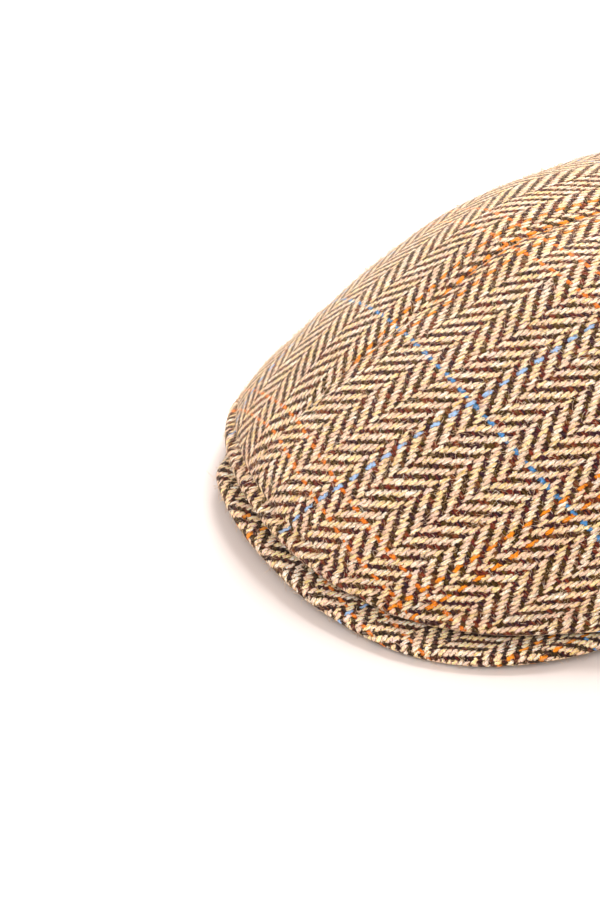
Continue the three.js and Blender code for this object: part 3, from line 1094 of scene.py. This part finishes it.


# Woven wool tweed, brushed little: its yarns are spun from dyed fibres, so each float has flecks
# of several tints, and their loose ends scatter the light. The eye gets no highlight, a matt
# grain, deep shade between the yarns and a pale bloom where it looks along the cloth. The shade
# between the yarns comes partly from the bump and partly is painted shade in the colour, which
# also carries painted light on the float tops and a painted warm glow in its darks.
@dataclass(frozen=True)
class TweedFinish:
    """Woollen tweed: cream melange warp over a dark melange weft, with a windowpane check."""

    name: str
    warp_check: Overcheck = Overcheck(repeat=72, blue=0, orange=(35, 40))
    weft_check: Overcheck = Overcheck(repeat=70, blue=0, orange=(32, 38))
    warp_tints: tuple[str, ...] = (
        "#FFEFD6", "#F2D886", "#F9CDB6", "#DDB896", "#FFF8EA", "#ECC45E", "#EAC8C6", "#FFE4BC")
    weft_tints: tuple[str, ...] = (
        "#42200F", "#1E0F0A", "#664C10", "#4A2430", "#241E2A", "#8C2E1A", "#7E5A30", "#30160C")
    warp_blue: str = "#9CBCE2"
    weft_blue: str = "#5494D0"
    warp_orange: str = "#F08C1E"
    weft_orange: str = "#F0822A"
    relief: float = 0.35
    # Painted light and shade: the next numbers scale the colour's overall level, darken it in the hollows
    # between the yarns, lighten it on the float tops and warm its darks as if lit by light thrown back among
    # the fibres. The mottle among them is the yarns' own random tone.
    painted_brightness: float = 1.12
    painted_hollow_shade: float = 0.08
    painted_float_light: float = 1.1
    mottle: tuple[float, float] = (0.62, 1.3)
    painted_bounce_powers: tuple[float, float, float] = (0.82, 1.0, 1.18)
    yarn_sheen: float = 0.3
    bloom_sheen: float = 0.5
    bloom_from: float = 0.6
    bloom_to: float = 0.92
    sheen_tint: str = "#FFEAD2"

    def pattern_mask(
            self, tree: bpy.types.NodeTree, thread: bpy.types.NodeSocket, repeat: int,
            places: tuple[int, ...]) -> bpy.types.Node:
        """Adds nodes that give 1 on the threads at some places of a repeat, and 0 elsewhere.

        Args:
            tree: the material's nodes.
            thread: number of the thread.
            repeat: threads from one check to the next.
            places: the threads in each repeat.

        Returns:
            The mask's node.
        """
        place = add_node(tree, MATH, thread, float(repeat), operation="FLOORED_MODULO")
        masks = [add_node(tree, MATH, place, float(at), 0.5, operation="COMPARE") for at in places]
        mask = masks[0]
        for other in masks[1:]:
            mask = add_node(tree, MATH, mask, other, operation="ADD")
        return mask

    def melange(
            self, tree: bpy.types.NodeTree, yarn_float: bpy.types.NodeSocket, drift: bpy.types.Node,
            tints: tuple[str, ...]) -> bpy.types.Node:
        """Adds the colours of a melange yarn: a tint for each float, drifting along the yarn.

        Args:
            tree: the material's nodes.
            yarn_float: vector that names each float.
            drift: value that changes slowly along each yarn.
            tints: the colours of the wool that is blended in the yarn.

        Returns:
            The colour's node.
        """
        chance = add_node(tree, "ShaderNodeTexWhiteNoise", yarn_float, noise_dimensions="3D")
        spread = add_node(tree, "ShaderNodeMapRange", drift, 0.25, 0.75)
        mixed = add_node(
            tree, "ShaderNodeMix", 0.4, named={2: chance.outputs["Value"], 3: spread}, data_type="FLOAT")
        return colour_ramp(tree, mixed, tints)

    def woven_colour(
            self, tree: bpy.types.NodeTree, threads: bpy.types.Node,
            out: bpy.types.NodeOutputs) -> bpy.types.Node:
        """Adds the colour of the yarn that lies on top, without light or shade.

        Args:
            tree: the material's nodes.
            threads: end and pick coordinates.
            out: outputs of the weave.

        Returns:
            The node that mixes the warp's and the weft's colours.
        """
        # The blend of fibres changes from yarn to yarn, and over some seven threads along each.
        across_yarns = add_node(tree, VECTOR_MATH, threads, (3.1, 0.14, 0.0), operation="MULTIPLY")
        along_weft = add_node(tree, VECTOR_MATH, threads, (0.16, 3.1, 0.0), operation="MULTIPLY")
        warp_drift = add_node(
            tree, "ShaderNodeTexNoise", across_yarns, named={"Scale": 1.0, "Detail": 2.0},
            noise_dimensions="2D")
        weft_drift = add_node(
            tree, "ShaderNodeTexNoise", along_weft, named={"Scale": 1.0, "Detail": 2.0},
            noise_dimensions="2D")
        warp = self.melange(tree, out["Warp Float"], warp_drift, self.warp_tints)
        weft = self.melange(tree, out["Weft Float"], weft_drift, self.weft_tints)

        colours = []
        for yarn, thread, check, blue, orange in (
                (warp, out["End"], self.warp_check, self.warp_blue, self.warp_orange),
                (weft, out["Pick"], self.weft_check, self.weft_blue, self.weft_orange)):
            blue_mask = self.pattern_mask(tree, thread, check.repeat, (check.blue,))
            orange_mask = self.pattern_mask(tree, thread, check.repeat, check.orange)
            with_blue = add_node(
                tree, "ShaderNodeMix", blue_mask,
                named={6: yarn, 7: linear_colour(blue)}, data_type="RGBA")
            colours.append(add_node(
                tree, "ShaderNodeMix", orange_mask,
                named={6: with_blue.outputs[2], 7: linear_colour(orange)}, data_type="RGBA"))
        return add_node(
            tree, "ShaderNodeMix", out["Warp On Top"],
            named={6: colours[1].outputs[2], 7: colours[0].outputs[2]}, data_type="RGBA")

    def material(self, weave_group: bpy.types.NodeTree) -> bpy.types.Material:
        """Builds the material.

        Args:
            weave_group: node group of the weave.

        Returns:
            The material.
        """
        material = bpy.data.materials.new(self.name)
        material.use_nodes = True
        tree = material.node_tree
        tree.nodes.clear()
        threads = add_node(tree, "ShaderNodeUVMap", uv_map=THREADS)
        weave = add_node(tree, "ShaderNodeGroup", node_tree=weave_group)
        tree.links.new(threads.outputs[0], weave.inputs["Threads"])
        out = weave.outputs

        woven = self.woven_colour(tree, threads, out)
        # Painted shade and light: by the weave's height the colour is darkened in the hollows between the
        # yarns and lightened on the float tops, then mottled and scaled to a painted level.
        hollow = add_node(
            tree, "ShaderNodeMapRange", out["Height"], 0.2, 1.35, self.painted_hollow_shade, self.painted_float_light)
        mottle = add_node(tree, "ShaderNodeMapRange", out["Hair"], 0.3, 0.7, *self.mottle)
        shade = add_node(tree, MATH, hollow, mottle, operation="MULTIPLY")
        lit = add_node(tree, MATH, shade, self.painted_brightness, operation="MULTIPLY")
        # Painted bounce light: each channel of the painted shade is raised to its own power, so the darks
        # turn a warm red-brown.
        bounced = [add_node(tree, MATH, lit, power, operation="POWER") for power in self.painted_bounce_powers]
        painted_warm_shade = add_node(tree, "ShaderNodeCombineXYZ", *bounced)
        painted_shade_colour = add_node(tree, VECTOR_MATH, woven.outputs[2], painted_warm_shade, operation="MULTIPLY")

        raised = add_node(tree, "ShaderNodeMapRange", out["Height"], 0.4, 1.2, 0.0, self.yarn_sheen)
        glance = add_node(tree, "ShaderNodeLayerWeight", 0.5)
        fuzz = add_node(
            tree, "ShaderNodeMapRange", glance.outputs["Facing"], self.bloom_from, self.bloom_to, 0.0,
            self.bloom_sheen)
        sheen = add_node(tree, MATH, raised, fuzz, operation="ADD", use_clamp=True)
        bump = add_node(tree, "ShaderNodeBump", named={
            "Height": out["Height"], "Distance": self.relief * MM, "Strength": 1.0})
        wool = add_node(tree, "ShaderNodeBsdfPrincipled", named={
            "Base Color": painted_shade_colour, "Roughness": 0.92, "Specular IOR Level": 0.15,
            "Sheen Weight": sheen, "Sheen Roughness": 0.35, "Sheen Tint": linear_colour(self.sheen_tint),
            "Normal": bump})
        add_node(tree, "ShaderNodeOutputMaterial", wool)
        return material


# Single wool fibres teased out of the yarn: each is thin and matt, so the eye sees a pale, soft
# haze on the cloth and a broken line of light along its edges.
@dataclass(frozen=True)
class StrayWoolFinish:
    """Loose wool fibres in the tints of the warp."""

    tints: tuple[str, ...] = ("#FFF0DA", "#DDB888", "#F6D8B6", "#B0805A", "#FFEAD0", "#CFA272")
    tints_per_metre: float = 260.0

    def material(self) -> bpy.types.Material:
        """Builds the material.

        Returns:
            The material.
        """
        material = bpy.data.materials.new("stray wool fibre")
        material.use_nodes = True
        tree = material.node_tree
        tree.nodes.clear()
        place = add_node(tree, "ShaderNodeTexCoord").outputs["Object"]
        patches = add_node(
            tree, "ShaderNodeTexNoise", place, named={"Scale": self.tints_per_metre, "Detail": 1.0})
        spread = add_node(tree, "ShaderNodeMapRange", patches, 0.3, 0.7)
        ramp = colour_ramp(tree, spread, self.tints)
        wool = add_node(tree, "ShaderNodeBsdfPrincipled", named={
            "Base Color": ramp, "Roughness": 0.7, "Specular IOR Level": 0.3})
        add_node(tree, "ShaderNodeOutputMaterial", wool)
        return material


@dataclass(frozen=True)
class StrayWool:
    """Loose fibres teased out of the yarn, scattered by Geometry Nodes over the cloth.

    Real ones are 0.03 mm thick and too fine to show, so these are drawn 0.07 mm thick.
    """

    name: str
    seed: int
    per_square_metre: float = 590000
    length: float = 1.3
    radius: float = 0.034
    lift: float = 0.5
    most_tilt: float = 0.45
    lowest: float = 0.1
    strands: tuple[tuple[float, float], ...] = (
        (0.8, 1.0), (1.0, 0.5), (0.6, 1.6), (1.1, 0.8), (0.7, 1.3))
    bend: tuple[float, float, float] = (1.0, 0.5, 1.2)
    bent_tip: tuple[float, float, float] = (2.0, -0.1, 0.8)
    sizes: tuple[float, float] = (0.35, 1.5)

    def reach(
            self, tree: bpy.types.NodeTree, place: tuple[float, float, float],
            length: bpy.types.NodeSocket) -> bpy.types.Node:
        """Adds a node for a point of a strand.

        Args:
            tree: the node tree.
            place: the point as shares of the length, along, across and up, where up counts by lift.
            length: the fibres' length.

        Returns:
            The point's node.
        """
        along, across, up = place
        return add_node(
            tree, VECTOR_MATH, (along, across, up * self.lift), named={"Scale": length}, operation="SCALE")

    def tree(self, finish: bpy.types.Material) -> bpy.types.GeometryNodeTree:
        """Builds the node tree that turns a surface into the fibres that stand on it.

        Args:
            finish: the fibres' material.

        Returns:
            The tree, with inputs for the surface, the density, the sizes and the seed.
        """
        tree = bpy.data.node_groups.new("stray wool", "GeometryNodeTree")
        face = tree.interface
        face.new_socket("Surface", in_out="INPUT", socket_type="NodeSocketGeometry")
        face.new_socket("Per Square Metre", in_out="INPUT", socket_type="NodeSocketFloat")
        face.new_socket("Length", in_out="INPUT", socket_type="NodeSocketFloat")
        face.new_socket("Radius", in_out="INPUT", socket_type="NodeSocketFloat")
        face.new_socket("Seed", in_out="INPUT", socket_type="NodeSocketInt")
        face.new_socket("Fibres", in_out="OUTPUT", socket_type="NodeSocketGeometry")
        sizes = add_node(tree, "NodeGroupInput").outputs
        points = add_node(
            tree, "GeometryNodeDistributePointsOnFaces", sizes["Surface"],
            named={"Density": sizes["Per Square Metre"], "Seed": sizes["Seed"]})
        profile = add_node(
            tree, "GeometryNodeCurvePrimitiveCircle", named={"Resolution": 3, "Radius": sizes["Radius"]})
        kinds = add_node(tree, "GeometryNodeGeometryToInstance")
        strands = []
        for along, up in self.strands:
            tip = self.reach(tree, (along, 0.0, up), sizes["Length"])
            strands.append(add_node(tree, "GeometryNodeCurvePrimitiveLine", named={"End": tip}))
        bend = self.reach(tree, self.bend, sizes["Length"])
        tip = self.reach(tree, self.bent_tip, sizes["Length"])
        strands.append(add_node(
            tree, "GeometryNodeCurveQuadraticBezier", 3,
            named={"Start": (0.0, 0.0, 0.0), "Middle": bend, "End": tip}))
        for strand in strands:
            tube = add_node(
                tree, "GeometryNodeCurveToMesh", strand, named={"Profile Curve": profile, "Fill Caps": True})
            tree.links.new(tube.outputs["Mesh"], kinds.inputs["Geometry"])
        turn = add_node(tree, "FunctionNodeRandomValue", data_type="FLOAT_VECTOR", named={
            0: (-self.most_tilt, -self.most_tilt, 0.0), 1: (self.most_tilt, self.most_tilt, 2 * math.pi),
            "Seed": sizes["Seed"]})
        facing = add_node(
            tree, "FunctionNodeRotateRotation", points.outputs["Rotation"], turn.outputs["Value"],
            rotation_space="LOCAL")
        scale = add_node(tree, "FunctionNodeRandomValue", data_type="FLOAT", named={
            2: self.sizes[0], 3: self.sizes[1], "Seed": sizes["Seed"]})
        kind = add_node(tree, "FunctionNodeRandomValue", data_type="INT", named={
            4: 0, 5: len(self.strands), "Seed": sizes["Seed"]})
        placed = add_node(tree, "GeometryNodeInstanceOnPoints", points.outputs["Points"], named={
            "Instance": kinds, "Pick Instance": True, "Instance Index": kind.outputs[2],
            "Rotation": facing, "Scale": scale.outputs[1]})
        real = add_node(tree, "GeometryNodeRealizeInstances", placed)
        dyed = add_node(tree, "GeometryNodeSetMaterial", real, named={"Material": finish})
        add_node(tree, "NodeGroupOutput", dyed)
        return tree

    def build(
            self, surface: tuple[np.ndarray, list[tuple[int, ...]]],
            finish: bpy.types.Material) -> bpy.types.Object:
        """Scatters the fibres.

        Args:
            surface: points in millimetres and faces of the cloth that they stand on.
            finish: the fibres' material.

        Returns:
            The fibres as one plain mesh object, at the origin.
        """
        points, faces = surface
        ground = bpy.data.meshes.new(self.name + "_ground")
        ground.from_pydata((points * MM).tolist(), [], faces)
        carrier = bpy.data.objects.new(self.name + "_ground", ground)
        bpy.context.scene.collection.objects.link(carrier)
        scatter = carrier.modifiers.new("stray wool", "NODES")
        scatter.node_group = self.tree(finish)
        sizes = {
            "Per Square Metre": self.per_square_metre, "Length": self.length * MM,
            "Radius": self.radius * MM, "Seed": self.seed}
        for item in scatter.node_group.interface.items_tree:
            if item.name in sizes:
                scatter[item.identifier] = sizes[item.name]
        grown = carrier.evaluated_get(bpy.context.evaluated_depsgraph_get())
        mesh = bpy.data.meshes.new_from_object(grown)
        mesh.name = self.name
        places = np.zeros(3 * len(mesh.vertices), dtype=np.float32)
        mesh.vertices.foreach_get("co", places)
        places[2::3] = np.maximum(places[2::3], self.lowest * MM)
        mesh.vertices.foreach_set("co", places)
        mesh.update()
        carrier.modifiers.remove(scatter)
        bpy.data.objects.remove(carrier)
        piece = bpy.data.objects.new(self.name, mesh)
        bpy.context.scene.collection.objects.link(piece)
        return piece


@dataclass(frozen=True)
class SoftBox:
    """A square soft box that faces the cap: its place and size in metres, its power in watts."""

    name: str
    place: tuple[float, float, float]
    size: float
    power: float


@dataclass(frozen=True)
class Studio:
    """White seamless floor, soft light and the camera at the photograph's viewing angle."""

    camera_place: tuple[float, float, float] = (618.6, -307.9, 400.7)
    azimuth: float = 72.478
    elevation: float = 30.179
    lens: float = 106.6
    floor_size: float = 12.0
    floor_white: str = "#E8DFDB"
    surroundings: str = "#FFF0E6"
    surroundings_strength: float = 0.62
    lit_point: tuple[float, float, float] = (0, 0, 0.05)
    soft_boxes: tuple[SoftBox, ...] = (
        SoftBox("key_soft_box", (-0.8, 0.8, 1.4), 1.3, 54),
        SoftBox("window_soft_box", (-1.3, 1.3, 0.6), 1.2, 42),
        SoftBox("fill_soft_box", (1.2, -0.9, 1.2), 1.4, 24))

    def camera(self) -> bpy.types.Object:
        """Places the camera.

        Returns:
            The camera, which is also the scene's.
        """
        data = bpy.data.cameras.new("studio_camera")
        data.lens = self.lens
        data.sensor_width = 36
        data.clip_end = 100
        camera = bpy.data.objects.new("studio_camera", data)
        turn, lift = math.radians(self.azimuth), math.radians(self.elevation)
        right = Vector((math.cos(turn), math.sin(turn), 0))
        back = Vector((math.sin(turn) * math.cos(lift), -math.cos(turn) * math.cos(lift), math.sin(lift)))
        up = back.cross(right)
        rotation = Matrix((right, up, back)).transposed().to_4x4()
        camera.matrix_world = Matrix.Translation(Vector(self.camera_place) * MM) @ rotation
        bpy.context.scene.collection.objects.link(camera)
        bpy.context.scene.camera = camera
        return camera

    def floor(self) -> bpy.types.Object:
        """Lays the floor: matt white paper, which has no gloss and takes a soft shadow.

        Returns:
            The floor.
        """
        half = self.floor_size / 2
        mesh = bpy.data.meshes.new("studio_floor")
        corners = [(-half, -half, 0), (half, -half, 0), (half, half, 0), (-half, half, 0)]
        mesh.from_pydata(corners, [], [(0, 1, 2, 3)])
        material = bpy.data.materials.new("matt white paper")
        material.use_nodes = True
        shader = material.node_tree.nodes["Principled BSDF"]
        shader.inputs["Base Color"].default_value = linear_colour(self.floor_white)
        shader.inputs["Roughness"].default_value = 0.9
        shader.inputs["Specular IOR Level"].default_value = 0.1
        mesh.materials.append(material)
        floor = bpy.data.objects.new("studio_floor", mesh)
        bpy.context.scene.collection.objects.link(floor)
        return floor

    def hang(self, soft_box: SoftBox) -> None:
        """Hangs a soft box that faces the cap."""
        data = bpy.data.lights.new(soft_box.name, "AREA")
        data.shape = "SQUARE"
        data.size = soft_box.size
        data.energy = soft_box.power
        light = bpy.data.objects.new(soft_box.name, data)
        place = Vector(soft_box.place)
        light.location = place
        light.rotation_euler = (Vector(self.lit_point) - place).to_track_quat("-Z", "Y").to_euler()
        bpy.context.scene.collection.objects.link(light)

    def light(self) -> None:
        """Lights the scene: white surroundings, a key and a window from behind, and a fill."""
        world = bpy.data.worlds.new("white studio")
        world.use_nodes = True
        background = world.node_tree.nodes["Background"]
        background.inputs["Color"].default_value = linear_colour(self.surroundings)
        background.inputs["Strength"].default_value = self.surroundings_strength
        bpy.context.scene.world = world
        for soft_box in self.soft_boxes:
            self.hang(soft_box)

    def build(self) -> None:
        """Sets up the whole studio."""
        self.camera()
        self.floor()
        self.light()
        bpy.context.scene.view_settings.view_transform = "Standard"


def dress(piece: bpy.types.Object, slot: str, *nodes: str) -> None:
    """Puts a finished piece on the cap.

    Args:
        piece: the piece, at the origin.
        slot: not used.
        nodes: CAD nodes whose place it takes.
    """
    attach(piece, "root")
    if nodes:
        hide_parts(*nodes)
    log.info("%s: %d faces", piece.name, len(piece.data.polygons))


def main() -> None:
    """Builds the cap and its studio."""
    logging.basicConfig(level=logging.INFO, format="%(message)s")
    form = CapForm()
    lays = {Side.LEFT: ClothLay(form), Side.RIGHT: right_lay(form)}
    weave = HerringboneWeave().group()
    tweed = TweedFinish("herringbone wool tweed").material(weave)
    # The peak's copy of the tweed is painted with more contrast than the crown's: painted light on the float
    # tops, and painted shade in the weft and the hollows between the yarns.
    peak_tweed = TweedFinish(
        "herringbone wool tweed on the peak", weft_tints=PEAK_PAINTED_SHADE_WEFT_TINTS, painted_brightness=1.36,
        painted_hollow_shade=0.0, relief=0.45).material(weave)
    stray = StrayWoolFinish().material()
    for side in Side:
        half = CrownHalf(form, lays[side], side)
        dress(half.build(tweed), "tweed", f"crown_{side.name.lower()}")
        fibres = StrayWool(f"stray_wool_{side.name.lower()}", seed=side.value + 5)
        dress(fibres.build(half.outer_face(), stray), "tweed")
    peak = Peak(form)
    dress(peak.build(peak_tweed), "peak_tweed", "peak")
    dress(StrayWool("stray_wool_peak", seed=9).build(peak.outer_face(), stray), "peak_tweed")
    Studio().build()


if __name__ == "__main__":
    main()
